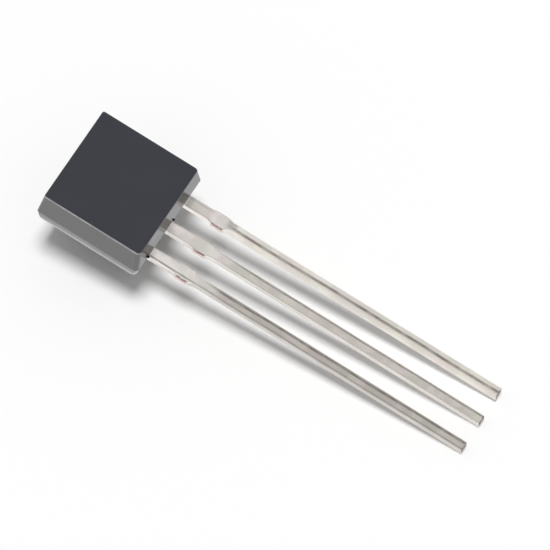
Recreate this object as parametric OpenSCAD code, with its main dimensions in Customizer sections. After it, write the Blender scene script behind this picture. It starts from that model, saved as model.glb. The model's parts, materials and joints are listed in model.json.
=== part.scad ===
// Small-signal transistor in a moulded through-hole body with three leads in a row.
// It lies as it comes to rest: flat face up, on the lower back edge of the body
// and on the tips of its leads. +X runs towards the tips and +Z points up.
// Each piece is first drawn in the leads' own frame. There the leads' front
// face, which is also the mould's parting plane, is Z = 0, the flat face lies
// above it, and the body ends at X = 0 where the leads come out.

/* [Body] */
// Height of the body along the leads, at the parting line
body_height = 4.53; // [4.3:0.01:4.8]
// Depth of the leads' front face behind the flat face
lead_depth = 1.285; // [1.2:0.005:1.4]
// Distance from the leads' front face to the axis of the round back
back_offset = 0.135; // [0.05:0.005:0.25]
// Radius of the round back
back_radius = 2.3; // [2.2:0.01:2.4]
// Width of the flat face, with its rounded edges
flat_width = 4.17; // [3.8:0.01:4.35]
// Draft of both end walls in front of the parting plane, in degrees
end_draft = 5.2; // [3:0.1:7]
// Draft of both end walls behind the parting plane, in degrees
back_end_draft = 7.5; // [5:0.1:9]
// Draft of the side walls between the parting line and the round back, in degrees
back_draft = 3; // [1:0.5:5]
// Radius along the edges of the flat face
front_edge_radius = 0.05; // [0.03:0.01:0.15]
// Radius along the two ends of the round back
back_edge_radius = 0.2; // [0.1:0.01:0.3]
// Radius of the body's four corners, seen on the flat face
corner_radius = 0.25; // [0.1:0.01:0.4]

/* [Mould marks] */
// Diameter of the ejector pin's mark in the round back
ejector_diameter = 1.6; // [1.2:0.05:1.8]
// Depth of the mark's floor below the crown of the back
ejector_depth = 0.2; // [0.18:0.01:0.35]
// Width of the gate stub on the end away from the leads
gate_width = 0.8; // [0.5:0.05:1.2]
// Thickness of the gate stub, behind the parting plane
gate_thickness = 0.18; // [0.1:0.01:0.3]
// How far the gate stub stands out
gate_length = 0.05; // [0.03:0.01:0.1]

/* [Leads] */
// Distance between the centres of neighbouring leads
lead_pitch = 1.27; // [1.22:0.01:1.32]
// Length of the leads outside the body
lead_length = 14.06; // [13.5:0.02:15]
// Thickness of the lead frame's sheet
lead_thickness = 0.41; // [0.36:0.01:0.45]
// Width of a lead between the body and the cut tie bar
root_width = 0.46; // [0.42:0.01:0.5]
// Width of a lead beyond the cut tie bar
lead_width = 0.4; // [0.36:0.01:0.45]
// Distance from the body to the cut tie bar
tie_distance = 1.22; // [1:0.02:1.5]
// Width of the tie bar, measured along the leads
tie_length = 0.56; // [0.4:0.02:0.8]
// Width over both stubs that the cut tie bar leaves on a lead
stub_width = 0.56; // [0.52:0.01:0.65]
// Length over which a stub runs down into the lead
stub_blend = 0.18; // [0.12:0.01:0.3]
// How far the sheared tip leans back from its lower edge
tip_slant = 0.04; // [0.01:0.01:0.08]

/* [Lead frame inside] */
// Length of the leads inside the body before they widen
neck_length = 0.9; // [0.7:0.02:1.1]
// Length over which an inner end widens
neck_blend = 0.22; // [0.1:0.01:0.3]
// Length of the flag that carries the die
flag_length = 2; // [1.6:0.05:2.3]
// Width of the flag
flag_width = 1.24; // [1:0.02:1.34]
// Length of the bonding posts
post_length = 1.3; // [1.2:0.05:1.8]
// How far a bonding post reaches towards the flag from its lead's centre
post_inner = 0.3; // [0.25:0.01:0.36]
// How far a bonding post reaches outwards from its lead's centre
post_outer = 0.4; // [0.3:0.01:0.5]
// Diameter of the holes that lock the flag and the posts in the moulding
lock_diameter = 0.3; // [0.2:0.01:0.36]
// Distance from a lock hole's edge to the end of the metal round it
lock_margin = 0.14; // [0.1:0.01:0.2]
// Radius of the corners of the flag and the posts
plate_radius = 0.08; // [0.04:0.01:0.12]

/* [Die and bond wires] */
// Side of the square die
die_side = 0.46; // [0.36:0.01:0.6]
// Thickness of the die
die_thickness = 0.2; // [0.12:0.01:0.25]
// Thickness of the solder film under the die
attach_thickness = 0.025; // [0.015:0.005:0.04]
// How far the solder film shows round the die
attach_margin = 0.03; // [0.01:0.01:0.06]
// Distance from the flag's widened start to the middle of the die
die_setback = 0.6; // [0.4:0.02:0.7]
// Distance from the middle of the die to the middle of each bond pad
pad_offset = 0.12; // [0.08:0.01:0.14]
// Diameter of the bond wires
wire_diameter = 0.05; // [0.04:0.005:0.06]
// Diameter of the flattened ball on the die
ball_diameter = 0.1; // [0.08:0.005:0.12]
// Thickness of the flattened ball
ball_thickness = 0.03; // [0.02:0.005:0.04]
// Height that the loop of a wire is pulled up to above its ball
loop_pull = 0.62; // [0.45:0.01:0.8]
// Distance from a post's inner edge to the middle of the stitch on it
stitch_inset = 0.22; // [0.15:0.01:0.3]
// Diameter of the stitch that the wire is pressed flat to
stitch_diameter = 0.12; // [0.1:0.005:0.14]

/* [Hidden] */
$fn = 64;
// Straight steps in a rounded corner of an outline
arc_steps = 8;
// Spare length of a shape that cuts or crosses another
spare = 1;

// The body, from the parting plane
back_depth = back_offset + back_radius;
parting_half = back_radius + back_offset * tan(back_draft);
front_inset = lead_depth * tan(end_draft);
back_inset = back_depth * tan(back_end_draft);

// The tie bar and the inner ends, along X
tie_near = tie_distance;
tie_far = tie_distance + tie_length;
stub_radius = 1.8 * stub_blend;
plate_x = -neck_length - neck_blend;
die_x = plate_x - die_setback;
flag_lock_x = plate_x - flag_length + lock_margin + lock_diameter / 2;
post_lock_x = plate_x - post_length + lock_margin + lock_diameter / 2;

// The bond wires
die_top = attach_thickness + die_thickness;
wire_sides = 8;
wire_steps = 16;
wire_flat = wire_diameter / 2 * cos(180 / wire_sides);
stitch_y = lead_pitch - post_inner + stitch_inset;
stitch_thickness = wire_diameter / 4;
ball_y = pad_offset;
wire_span = stitch_y - ball_y;
wire_landing = 0.35 * wire_span;

function unit(v) = v / norm(v);

// Centre of the arc of radius r that rounds corner b between a and c
function arc_centre(a, b, c, r) =
    let (u = unit(a - b), v = unit(c - b))
    b + unit(u + v) * r / sin(acos(u * v) / 2);

// Points of the arc of radius r that rounds corner b between a and c
function arc_points(a, b, c, r) =
    let (
        u = unit(a - b),
        v = unit(c - b),
        half = acos(u * v) / 2,
        middle = arc_centre(a, b, c, r),
        first = b + u * r / tan(half) - middle,
        sweep = (2 * half - 180) * sign(cross(u, v))
    )
    [for (i = [0 : arc_steps])
        let (t = sweep * i / arc_steps)
        middle + [
            first.x * cos(t) - first.y * sin(t),
            first.x * sin(t) + first.y * cos(t)
        ]
    ];

// An outline whose corners are [x, y, radius], with each corner rounded
function rounded_outline(corners) =
    let (n = len(corners), p = [for (c = corners) [c[0], c[1]]])
    [for (i = [0 : n - 1])
        each corners[i][2] > 0
            ? arc_points(p[(i + n - 1) % n], p[i], p[(i + 1) % n], corners[i][2])
            : [p[i]]
    ];

// The same edge on the other side of the X axis, run the other way
function mirrored(edge) =
    [for (i = [len(edge) - 1 : -1 : 0]) [edge[i][0], -edge[i][1], edge[i][2]]];

// Side view of the body: X along the leads, Y towards the flat face
body_side = [
    [0, 0, 0],
    [-front_inset, lead_depth, front_edge_radius],
    [front_inset - body_height, lead_depth, front_edge_radius],
    [-body_height, 0, 0],
    [back_inset - body_height, -back_depth, back_edge_radius],
    [-back_inset, -back_depth, back_edge_radius]
];

// Where the part touches the surface that it lies on: the rounded back edge of
// the body at the leads' end, and the lower edge of the leads' tips
heel = arc_centre([0, 0], [-back_inset, -back_depth],
    [back_inset - body_height, -back_depth], back_edge_radius);
reach = [lead_length - heel.x, -heel.y - lead_thickness];
rest_tilt = atan2(reach.y, reach.x) + asin(back_edge_radius / norm(reach));
rest_lift = lead_length * sin(rest_tilt) + lead_thickness * cos(rest_tilt);

// The ends of the part along X as it lies, which centre it
function lying_x(x, z) = x * cos(rest_tilt) + z * sin(rest_tilt);
tip_end = max(
    lying_x(lead_length, -lead_thickness),
    lying_x(lead_length - tip_slant, 0)
);
head_end = min(
    lying_x(-body_height, 0),
    lying_x(-body_height - gate_length, -gate_thickness),
    lying_x(-body_height - heel.x, heel.y) - back_edge_radius
);

// Lays a piece down from the leads' own frame
module at_rest() {
    translate([-(tip_end + head_end) / 2, 0, rest_lift])
        rotate([0, rest_tilt, 0])
            children();
}

// Extrudes an outline that is drawn as seen from the side, X along the leads
module across_body(width) {
    translate([0, width / 2, 0])
        rotate([90, 0, 0])
            linear_extrude(height = width)
                children();
}

// Extrudes an outline that is drawn as seen from the tips, X to the far side
module along_body(length) {
    translate([spare, 0, 0])
        rotate([90, 0, -90])
            linear_extrude(height = length)
                children();
}

// End view of the body: a flat front with drafted sides on a round back
module body_section() {
    polygon(rounded_outline([
        [parting_half, 0, 0],
        [flat_width / 2, lead_depth, front_edge_radius],
        [-flat_width / 2, lead_depth, front_edge_radius],
        [-parting_half, 0, 0],
        [-back_radius, -back_offset, 0],
        [back_radius, -back_offset, 0]
    ]));
    intersection() {
        translate([0, -back_offset])
            circle(r = back_radius);
        translate([-2 * back_radius, -back_offset - 2 * back_radius])
            square([4 * back_radius, 2 * back_radius]);
    }
}

// View on the flat face: the outline at the parting line
module body_plan() {
    polygon(rounded_outline([
        [0, parting_half, corner_radius],
        [-body_height, parting_half, corner_radius],
        [-body_height, -parting_half, corner_radius],
        [0, -parting_half, corner_radius]
    ]));
}

// The pin that pushes the body out of the mould marks its round back
module ejector_mark() {
    translate([-body_height / 2, 0, -back_depth - spare])
        cylinder(h = spare + ejector_depth, r = ejector_diameter / 2);
}

// What is left of the runner that filled the mould
module gate_stub() {
    translate([-body_height - gate_length, -gate_width / 2, -gate_thickness])
        cube([gate_length + back_inset, gate_width, gate_thickness]);
}

module moulding() {
    difference() {
        intersection() {
            across_body(2 * parting_half + spare)
                polygon(rounded_outline(body_side));
            along_body(body_height + 2 * spare)
                body_section();
            translate([0, 0, -back_depth - spare])
                linear_extrude(height = back_depth + lead_depth + 2 * spare)
                    body_plan();
        }
        ejector_mark();
    }
    gate_stub();
}

// One long edge of a lead from its tip to the body, as [x, y, radius]
lead_edge = [
    [lead_length, lead_width / 2, 0],
    [tie_far + stub_blend, lead_width / 2, stub_radius],
    [tie_far, stub_width / 2, stub_radius],
    [tie_near, stub_width / 2, stub_radius],
    [tie_near - stub_blend, root_width / 2, stub_radius],
    [-neck_length, root_width / 2, plate_radius]
];

// The inner end's edge, which widens from the neck to the given half width
function plate_edge(half, length) = [
    [plate_x, half, plate_radius],
    [plate_x - length, half, plate_radius]
];

// A lead as stamped from the sheet, with its two long edges and its lock hole
module stamped_lead(edge, other_edge, lock_x) {
    intersection() {
        translate([0, 0, -lead_thickness])
            linear_extrude(height = lead_thickness)
                difference() {
                    polygon(rounded_outline(concat(edge, mirrored(other_edge))));
                    translate([lock_x, 0])
                        circle(r = lock_diameter / 2);
                }
        across_body(2 * flag_width)
            polygon([
                [lead_length - tip_slant, 0],
                [-body_height, 0],
                [-body_height, -lead_thickness],
                [lead_length, -lead_thickness]
            ]);
    }
}

module flag_lead() {
    edge = concat(lead_edge, plate_edge(flag_width / 2, flag_length));
    stamped_lead(edge, edge, flag_lock_x);
}

// A lead with a bonding post, on the side of the row that side gives
module post_lead(side) {
    outer = concat(lead_edge, plate_edge(post_outer, post_length));
    inner = concat(lead_edge, plate_edge(post_inner, post_length));
    translate([0, side * lead_pitch, 0])
        stamped_lead(side > 0 ? outer : inner, side > 0 ? inner : outer, post_lock_x);
}

module attach_film() {
    side = die_side + 2 * attach_margin;
    translate([die_x - side / 2, -side / 2, 0])
        cube([side, side, attach_thickness]);
}

module die_block() {
    translate([die_x - die_side / 2, -die_side / 2, attach_thickness])
        cube([die_side, die_side, die_thickness]);
}

// Height and distance of a bond wire's centre line, from the ball to the stitch
wire_start = [0, die_top + ball_thickness / 2];
wire_pull = [0, die_top + loop_pull];
wire_fall = [wire_span - wire_landing, wire_flat];
wire_end = [wire_span, wire_flat];
function wire_point(t) =
    pow(1 - t, 3) * wire_start + 3 * pow(1 - t, 2) * t * wire_pull
    + 3 * (1 - t) * t * t * wire_fall + t * t * t * wire_end;
function wire_slope(t) =
    unit(pow(1 - t, 2) * (wire_pull - wire_start)
        + 2 * (1 - t) * t * (wire_fall - wire_pull)
        + t * t * (wire_end - wire_fall));

// The rings of a bond wire: each has its centre and its direction
wire_rings = concat(
    [for (i = [0 : wire_steps]) [wire_point(i / wire_steps), wire_slope(i / wire_steps)]],
    [[wire_end + [stitch_diameter / 4, 0], [1, 0]]]
);
function ring_points(ring) =
    [for (k = [0 : wire_sides - 1])
        let (
            angle = (k + 0.5) * 360 / wire_sides,
            across = wire_diameter / 2 * cos(angle),
            up = wire_diameter / 2 * sin(angle)
        )
        [across, ring[0].x - up * ring[1].y, ring[0].y + up * ring[1].x]
    ];

module looped_wire() {
    last = len(wire_rings) - 1;
    polyhedron(
        points = [for (ring = wire_rings) each ring_points(ring)],
        faces = concat(
            [[for (k = [0 : wire_sides - 1]) k]],
            [[for (k = [wire_sides - 1 : -1 : 0]) last * wire_sides + k]],
            [for (i = [0 : last - 1], k = [0 : wire_sides - 1])
                let (
                    a = i * wire_sides + k,
                    b = i * wire_sides + (k + 1) % wire_sides
                )
                [a, a + wire_sides, b + wire_sides, b]
            ]
        )
    );
}

// A bond wire from the die to the post on the side of the row that side gives
module wire_on(side) {
    translate([die_x, side * ball_y, 0])
        mirror([0, side > 0 ? 0 : 1, 0]) {
            translate([0, 0, die_top])
                cylinder(h = ball_thickness, r = ball_diameter / 2);
            looped_wire();
            translate([0, wire_span, 0])
                cylinder(h = stitch_thickness, r = stitch_diameter / 2);
        }
}

// All that the moulding closes round
module embedded_pieces() {
    flag_lead();
    for (side = [-1, 1]) {
        post_lead(side);
        wire_on(side);
    }
    attach_film();
    die_block();
}

module package_body() {
    color([0.2, 0.2, 0.22])
        at_rest()
            difference() {
                moulding();
                embedded_pieces();
            }
}

module emitter_lead() {
    color([0.82, 0.8, 0.78])
        at_rest()
            post_lead(-1);
}

module collector_lead() {
    color([0.82, 0.8, 0.78])
        at_rest()
            flag_lead();
}

module base_lead() {
    color([0.82, 0.8, 0.78])
        at_rest()
            post_lead(1);
}

module die_attach() {
    color([0.66, 0.67, 0.7])
        at_rest()
            attach_film();
}

module silicon_die() {
    color([0.36, 0.38, 0.44])
        at_rest()
            die_block();
}

module emitter_bond_wire() {
    color([0.9, 0.72, 0.32])
        at_rest()
            wire_on(-1);
}

module base_bond_wire() {
    color([0.9, 0.72, 0.32])
        at_rest()
            wire_on(1);
}

package_body();
emitter_lead();
collector_lead();
base_lead();
die_attach();
silicon_die();
emitter_bond_wire();
base_bond_wire();
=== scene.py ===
"""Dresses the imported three-lead transistor and lights it as in its photograph.

The CAD model gives the place of every piece. This script models the moulded
body and the three stamped leads again with their small radii, stub cuts and
plating, and gives every piece a procedural finish.
"""

import json
import logging
import math
from contextlib import contextmanager
from dataclasses import dataclass, field, replace
from enum import Enum
from typing import Callable, Iterator, Sequence

import bmesh
import bpy
from mathutils import Matrix, Vector, noise


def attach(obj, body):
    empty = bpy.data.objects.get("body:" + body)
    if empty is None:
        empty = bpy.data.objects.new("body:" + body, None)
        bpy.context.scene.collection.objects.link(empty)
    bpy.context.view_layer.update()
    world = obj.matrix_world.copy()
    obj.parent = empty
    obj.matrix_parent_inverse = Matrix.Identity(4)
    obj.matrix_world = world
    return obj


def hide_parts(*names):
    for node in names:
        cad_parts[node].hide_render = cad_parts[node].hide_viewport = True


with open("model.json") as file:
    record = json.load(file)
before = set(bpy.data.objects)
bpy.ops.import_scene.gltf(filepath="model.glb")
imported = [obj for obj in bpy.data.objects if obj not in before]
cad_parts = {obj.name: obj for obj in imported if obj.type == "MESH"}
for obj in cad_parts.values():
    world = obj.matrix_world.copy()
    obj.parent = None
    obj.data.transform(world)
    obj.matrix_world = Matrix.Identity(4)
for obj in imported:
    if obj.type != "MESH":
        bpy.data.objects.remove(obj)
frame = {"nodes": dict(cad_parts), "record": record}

LOG = logging.getLogger("transistor")
ROOT_BODY = "root"
MM = 0.001
# How close two places in millimetres are when they count as the same
TOUCH = 1e-4
# How far the base lead is turned about its own axis beyond its stub, in degrees
BASE_LEAD_TURN = -22.5

Colour = tuple[float, float, float, float]


class Piece(Enum):
    """The CAD nodes, by the names that they have in the frame."""

    BODY = "package_body"
    EMITTER_LEAD = "emitter_lead"
    COLLECTOR_LEAD = "collector_lead"
    BASE_LEAD = "base_lead"
    ATTACH = "die_attach"
    DIE = "silicon_die"
    EMITTER_WIRE = "emitter_bond_wire"
    BASE_WIRE = "base_bond_wire"


class Slot(Enum):
    """The record's material slots."""

    EPOXY = "epoxy_moulding"
    TIN = "tinned_copper"
    SOLDER = "solder"
    SILICON = "silicon"
    GOLD = "gold_wire"


# The leads' own frame, in which the pieces are modelled in millimetres


@dataclass(frozen=True)
class LeadsFrame:
    """The frame of the flat leads: X to the tips, Z to the flat face, origin at the exit.

    Attributes:
        matrix: Takes a point from this frame, in millimetres, to the row frame, in metres.
    """

    matrix: Matrix

    @classmethod
    def from_record(cls, lead_length: float, lead_thickness: float) -> "LeadsFrame":
        """Reads the frame off the record's two mounts.

        Args:
            lead_length: Length of the leads outside the body.
            lead_thickness: Thickness of the leads.

        Returns:
            The frame of the leads.
        """
        mounts = {mount["name"]: mount for mount in frame["record"]["mounts"]}
        along = Vector(mounts["lead_row"]["axis"]).normalized()
        up = Vector(mounts["flat_face"]["axis"]).normalized()
        across = up.cross(along)
        tip = Vector(mounts["lead_row"]["pos_m"])
        start = tip - along * lead_length * MM + up * lead_thickness / 2 * MM
        turn = Matrix((along, across, up)).transposed().to_4x4()
        return cls(Matrix.Translation(start) @ turn @ Matrix.Scale(MM, 4))

    def lay_down(self, piece: bpy.types.Object) -> None:
        """Moves a piece modelled in this frame into the row frame, with its place in its mesh.

        Args:
            piece: The object, which sits at the origin unturned.
        """
        pick(piece)
        piece.matrix_world = self.matrix
        bpy.ops.object.transform_apply(location=True, rotation=True, scale=True)

    @property
    def turn(self) -> tuple[float, float, float]:
        """The frame's turn as Euler angles."""
        return tuple(self.matrix.to_euler())

    @property
    def origin(self) -> tuple[float, float, float]:
        """The frame's origin in the row frame, in metres."""
        return tuple(self.matrix.translation)


# Modelling by hand


def clear_selection() -> None:
    """Deselects every object."""
    bpy.ops.object.select_all(action="DESELECT")


def pick(piece: bpy.types.Object) -> None:
    """Makes a piece the only selected object and the active one."""
    clear_selection()
    piece.select_set(True)
    bpy.context.view_layer.objects.active = piece


@contextmanager
def editing(piece: bpy.types.Object) -> Iterator[None]:
    """Holds a piece in edit mode.

    Args:
        piece: The object to edit.
    """
    pick(piece)
    bpy.ops.object.mode_set(mode="EDIT")
    yield
    bpy.ops.object.mode_set(mode="OBJECT")


def select_faces(piece: bpy.types.Object, test: Callable[[bmesh.types.BMFace], bool]) -> None:
    """Selects the faces that pass a test, in edit mode.

    Args:
        piece: The object in edit mode.
        test: Takes a face and says whether it is wanted.
    """
    bpy.ops.mesh.select_mode(type="FACE")
    bpy.ops.mesh.select_all(action="DESELECT")
    mesh = bmesh.from_edit_mesh(piece.data)
    for face in mesh.faces:
        if test(face):
            face.select_set(True)
    bmesh.update_edit_mesh(piece.data)


def select_edges(piece: bpy.types.Object, test: Callable[[Vector, Vector], bool]) -> None:
    """Selects the edges whose two ends pass a test, in edit mode.

    Args:
        piece: The object in edit mode.
        test: Takes the places of an edge's ends and says whether it is wanted.
    """
    bpy.ops.mesh.select_mode(type="EDGE")
    bpy.ops.mesh.select_all(action="DESELECT")
    mesh = bmesh.from_edit_mesh(piece.data)
    for edge in mesh.edges:
        if test(edge.verts[0].co, edge.verts[1].co):
            edge.select_set(True)
    bmesh.update_edit_mesh(piece.data)


def select_points(piece: bpy.types.Object, test: Callable[[Vector], bool]) -> None:
    """Selects the vertices that pass a test, in edit mode.

    Args:
        piece: The object in edit mode.
        test: Takes a place and says whether it is wanted.
    """
    bpy.ops.mesh.select_mode(type="VERT")
    bpy.ops.mesh.select_all(action="DESELECT")
    mesh = bmesh.from_edit_mesh(piece.data)
    for point in mesh.verts:
        if test(point.co):
            point.select_set(True)
    bmesh.update_edit_mesh(piece.data)


def close_to(a: float, b: float) -> bool:
    """Says whether two sizes in millimetres are the same."""
    return abs(a - b) < TOUCH


def cut_all(
    point: Sequence[float], normal: Sequence[float], drop_outside: bool = False
) -> None:
    """Cuts the whole mesh in edit mode by a plane.

    Args:
        point: A point of the plane.
        normal: The plane's normal.
        drop_outside: Whether the side that the normal points to is removed and closed.
    """
    bpy.ops.mesh.select_all(action="SELECT")
    bpy.ops.mesh.bisect(
        plane_co=point,
        plane_no=normal,
        use_fill=drop_outside,
        clear_outer=drop_outside,
        threshold=1e-6,
    )


def round_edges(
    piece: bpy.types.Object, radius_of: Callable[[bmesh.types.BMEdge], float], segments: int
) -> None:
    """Rounds the edges of a piece, each with its own radius.

    Args:
        piece: The object.
        radius_of: Takes an edge and gives its radius, or 0 where it stays sharp.
        segments: Steps across the rounding.
    """
    with editing(piece):
        mesh = bmesh.from_edit_mesh(piece.data)
        radii = {edge.index: radius_of(edge) for edge in mesh.edges}
        widest = max(radii.values())
        for radius in sorted(set(radii.values()) - {0.0}):
            bpy.ops.mesh.select_mode(type="EDGE")
            bpy.ops.mesh.select_all(action="DESELECT")
            mesh = bmesh.from_edit_mesh(piece.data)
            for edge in mesh.edges:
                if radii[edge.index] == radius:
                    edge.select_set(True)
            bmesh.update_edit_mesh(piece.data)
            bpy.ops.transform.edge_bevelweight(value=radius / widest)
    pick(piece)
    bevel = piece.modifiers.new("rounding", "BEVEL")
    bevel.width = widest
    bevel.segments = segments
    bevel.limit_method = "WEIGHT"
    bevel.use_clamp_overlap = False
    bevel.miter_outer = "MITER_ARC"
    bpy.ops.object.modifier_apply(modifier=bevel.name)


def combine(piece: bpy.types.Object, tool: bpy.types.Object, operation: str) -> None:
    """Joins a tool to a piece or cuts it away, and removes the tool.

    Args:
        piece: The object that is kept.
        tool: The object that shapes it.
        operation: UNION or DIFFERENCE.
    """
    pick(piece)
    step = piece.modifiers.new("shaping", "BOOLEAN")
    step.operation = operation
    step.solver = "EXACT"
    step.object = tool
    bpy.ops.object.modifier_apply(modifier=step.name)
    bpy.data.objects.remove(tool)


def smooth_surfaces(
    piece: bpy.types.Object, angle: float, crease: Callable[[Vector, Vector], bool] | None = None
) -> None:
    """Shades a piece smooth up to an angle, with its large faces kept flat.

    Args:
        piece: The object.
        angle: Smallest angle of an edge that stays sharp, in degrees.
        crease: Takes the places of an edge's ends and says whether it stays sharp too.
    """
    pick(piece)
    bpy.ops.object.shade_smooth_by_angle(angle=math.radians(angle))
    if crease:
        with editing(piece):
            select_edges(piece, crease)
            bpy.ops.mesh.mark_sharp()
    pick(piece)
    weighing = piece.modifiers.new("flat_faces", "WEIGHTED_NORMAL")
    weighing.keep_sharp = True
    weighing.weight = 60
    bpy.ops.object.modifier_apply(modifier=weighing.name)


# Shader nodes


class Sketch:
    """Adds and links the nodes of one tree."""

    def __init__(self, tree: bpy.types.NodeTree) -> None:
        """Starts on a tree.

        Args:
            tree: The material's or the group's tree.
        """
        self.tree = tree

    def add(self, kind: str, **settings: object) -> bpy.types.Node:
        """Adds a node and sets its properties.

        Args:
            kind: Blender's name for the node's type.
            **settings: Properties of the node.

        Returns:
            The new node.
        """
        node = self.tree.nodes.new(kind)
        for name, value in settings.items():
            setattr(node, name, value)
        return node

    def feed(self, node: bpy.types.Node, name: str | int, source: object) -> None:
        """Links a socket to an input, or sets the input to a value.

        Args:
            node: The node that is fed.
            name: The input's name or number.
            source: An output socket, or a value.
        """
        if isinstance(source, bpy.types.NodeSocket):
            self.tree.links.new(source, node.inputs[name])
        else:
            node.inputs[name].default_value = source

    def noise(self, vector: object, scale: float, detail: float, **more: object) -> object:
        """Adds a noise texture and returns its value.

        Args:
            vector: The coordinate that it reads.
            scale: Spots to a metre.
            detail: Octaves.
            **more: Further inputs by name.

        Returns:
            The texture's value output.
        """
        node = self.add("ShaderNodeTexNoise")
        self.feed(node, "Vector", vector)
        self.feed(node, "Scale", scale)
        self.feed(node, "Detail", detail)
        for name, value in more.items():
            self.feed(node, name, value)
        return node.outputs["Fac"]

    def math(self, operation: str, *terms: object) -> object:
        """Adds a sum, product or other step on numbers.

        Args:
            operation: Blender's name for the step.
            *terms: Its inputs.

        Returns:
            The result.
        """
        node = self.add("ShaderNodeMath", operation=operation)
        for index, term in enumerate(terms):
            self.feed(node, index, term)
        return node.outputs[0]

    def span(self, value: object, low: float, high: float, start: float, end: float) -> object:
        """Maps a value from one range to another, clamped.

        Args:
            value: The value.
            low: Value that gives start.
            high: Value that gives end.
            start: Result at low.
            end: Result at high.

        Returns:
            The mapped value.
        """
        node = self.add("ShaderNodeMapRange", interpolation_type="SMOOTHSTEP")
        for index, term in enumerate((value, low, high, start, end)):
            self.feed(node, index, term)
        return node.outputs["Result"]

    def mix(self, amount: object, first: object, second: object) -> object:
        """Blends two colours.

        Args:
            amount: Share of the second.
            first: The first colour.
            second: The second colour.

        Returns:
            The blended colour.
        """
        node = self.add("ShaderNodeMix", data_type="RGBA")
        self.feed(node, "Factor", amount)
        self.feed(node, 6, first)
        self.feed(node, 7, second)
        return node.outputs[2]

    def tint(self, amount: object, base: object, colour: Colour) -> object:
        """Multiplies a colour by another where a mask asks for it.

        Args:
            amount: The mask.
            base: The colour.
            colour: The factor.

        Returns:
            The tinted colour.
        """
        node = self.add("ShaderNodeMix", data_type="RGBA", blend_type="MULTIPLY")
        self.feed(node, "Factor", amount)
        self.feed(node, 6, base)
        self.feed(node, 7, colour)
        return node.outputs[2]

    def choose(self, share: object, first: object, second: object) -> object:
        """Blends two numbers.

        Args:
            share: Share of the second.
            first: The first number.
            second: The second number.

        Returns:
            The blended number.
        """
        node = self.add("ShaderNodeMix", data_type="FLOAT")
        for index, term in enumerate((share, first, second)):
            self.feed(node, (0, 2, 3)[index], term)
        return node.outputs[0]

    def bump(self, height: object, depth: float) -> object:
        """Turns a height into a normal.

        Args:
            height: The height, from 0 to 1.
            depth: What a height of 1 stands for, in metres.

        Returns:
            The bumped normal.
        """
        node = self.add("ShaderNodeBump")
        self.feed(node, "Height", height)
        self.feed(node, "Distance", depth)
        self.feed(node, "Strength", 1.0)
        return node.outputs["Normal"]


class SharedEffects:
    """Node groups that more than one finish uses."""

    def __init__(self) -> None:
        """Builds the groups."""
        self.grain = self._grain()
        self.streaks = self._streaks()

    @staticmethod
    def _group(name: str, inputs: dict[str, float], outputs: Sequence[str]) -> Sketch:
        """Starts a group that reads a coordinate and numbers and gives values.

        Args:
            name: The group's name.
            inputs: Its numbers with their defaults.
            outputs: Its outputs.

        Returns:
            A sketch of the group's tree.
        """
        tree = bpy.data.node_groups.new(name, "ShaderNodeTree")
        tree.interface.new_socket("Vector", in_out="INPUT", socket_type="NodeSocketVector")
        for socket, value in inputs.items():
            made = tree.interface.new_socket(socket, in_out="INPUT", socket_type="NodeSocketFloat")
            made.default_value = value
        for socket in outputs:
            tree.interface.new_socket(socket, in_out="OUTPUT", socket_type="NodeSocketFloat")
        return Sketch(tree)

    def _grain(self) -> bpy.types.NodeTree:
        """Fine uneven grain, as a spark-eroded mould or a matt plating leaves it."""
        sketch = self._group("fine_grain", {"Scale": 20000.0, "Patch Scale": 900.0}, ("Height", "Patches"))
        given = sketch.add("NodeGroupInput").outputs
        result = sketch.add("NodeGroupOutput")
        coarse = sketch.noise(given["Vector"], 0.0, 3.0, Scale=given["Scale"], Roughness=0.6)
        cells = sketch.add("ShaderNodeTexVoronoi", feature="SMOOTH_F1")
        sketch.feed(cells, "Vector", given["Vector"])
        sketch.feed(cells, "Scale", given["Scale"])
        pits = sketch.span(cells.outputs["Distance"], 0.1, 0.7, 0.0, 1.0)
        sketch.feed(result, "Height", sketch.math("MULTIPLY_ADD", pits, 0.45, coarse))
        patches = sketch.noise(given["Vector"], 0.0, 2.0, Scale=given["Patch Scale"])
        sketch.feed(result, "Patches", sketch.span(patches, 0.35, 0.65, 0.0, 1.0))
        return sketch.tree

    def _streaks(self) -> bpy.types.NodeTree:
        """Lengthwise drawing and handling marks on a strip that runs along X."""
        sketch = self._group("lengthwise_streaks", {"Scale": 9000.0, "Stretch": 0.04}, ("Lines", "Stains"))
        given = sketch.add("NodeGroupInput").outputs
        result = sketch.add("NodeGroupOutput")
        split = sketch.add("ShaderNodeSeparateXYZ")
        sketch.feed(split, 0, given["Vector"])
        join = sketch.add("ShaderNodeCombineXYZ")
        sketch.feed(join, 0, sketch.math("MULTIPLY", split.outputs[0], given["Stretch"]))
        sketch.feed(join, 1, split.outputs[1])
        sketch.feed(join, 2, split.outputs[2])
        lines = sketch.noise(join.outputs[0], 0.0, 4.0, Scale=given["Scale"], Roughness=0.65)
        sketch.feed(result, "Lines", sketch.span(lines, 0.3, 0.7, 0.0, 1.0))
        stains = sketch.noise(given["Vector"], 1000.0, 2.0, Distortion=0.3)
        sketch.feed(result, "Stains", sketch.span(stains, 0.3, 0.7, 0.0, 1.0))
        return sketch.tree


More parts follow.
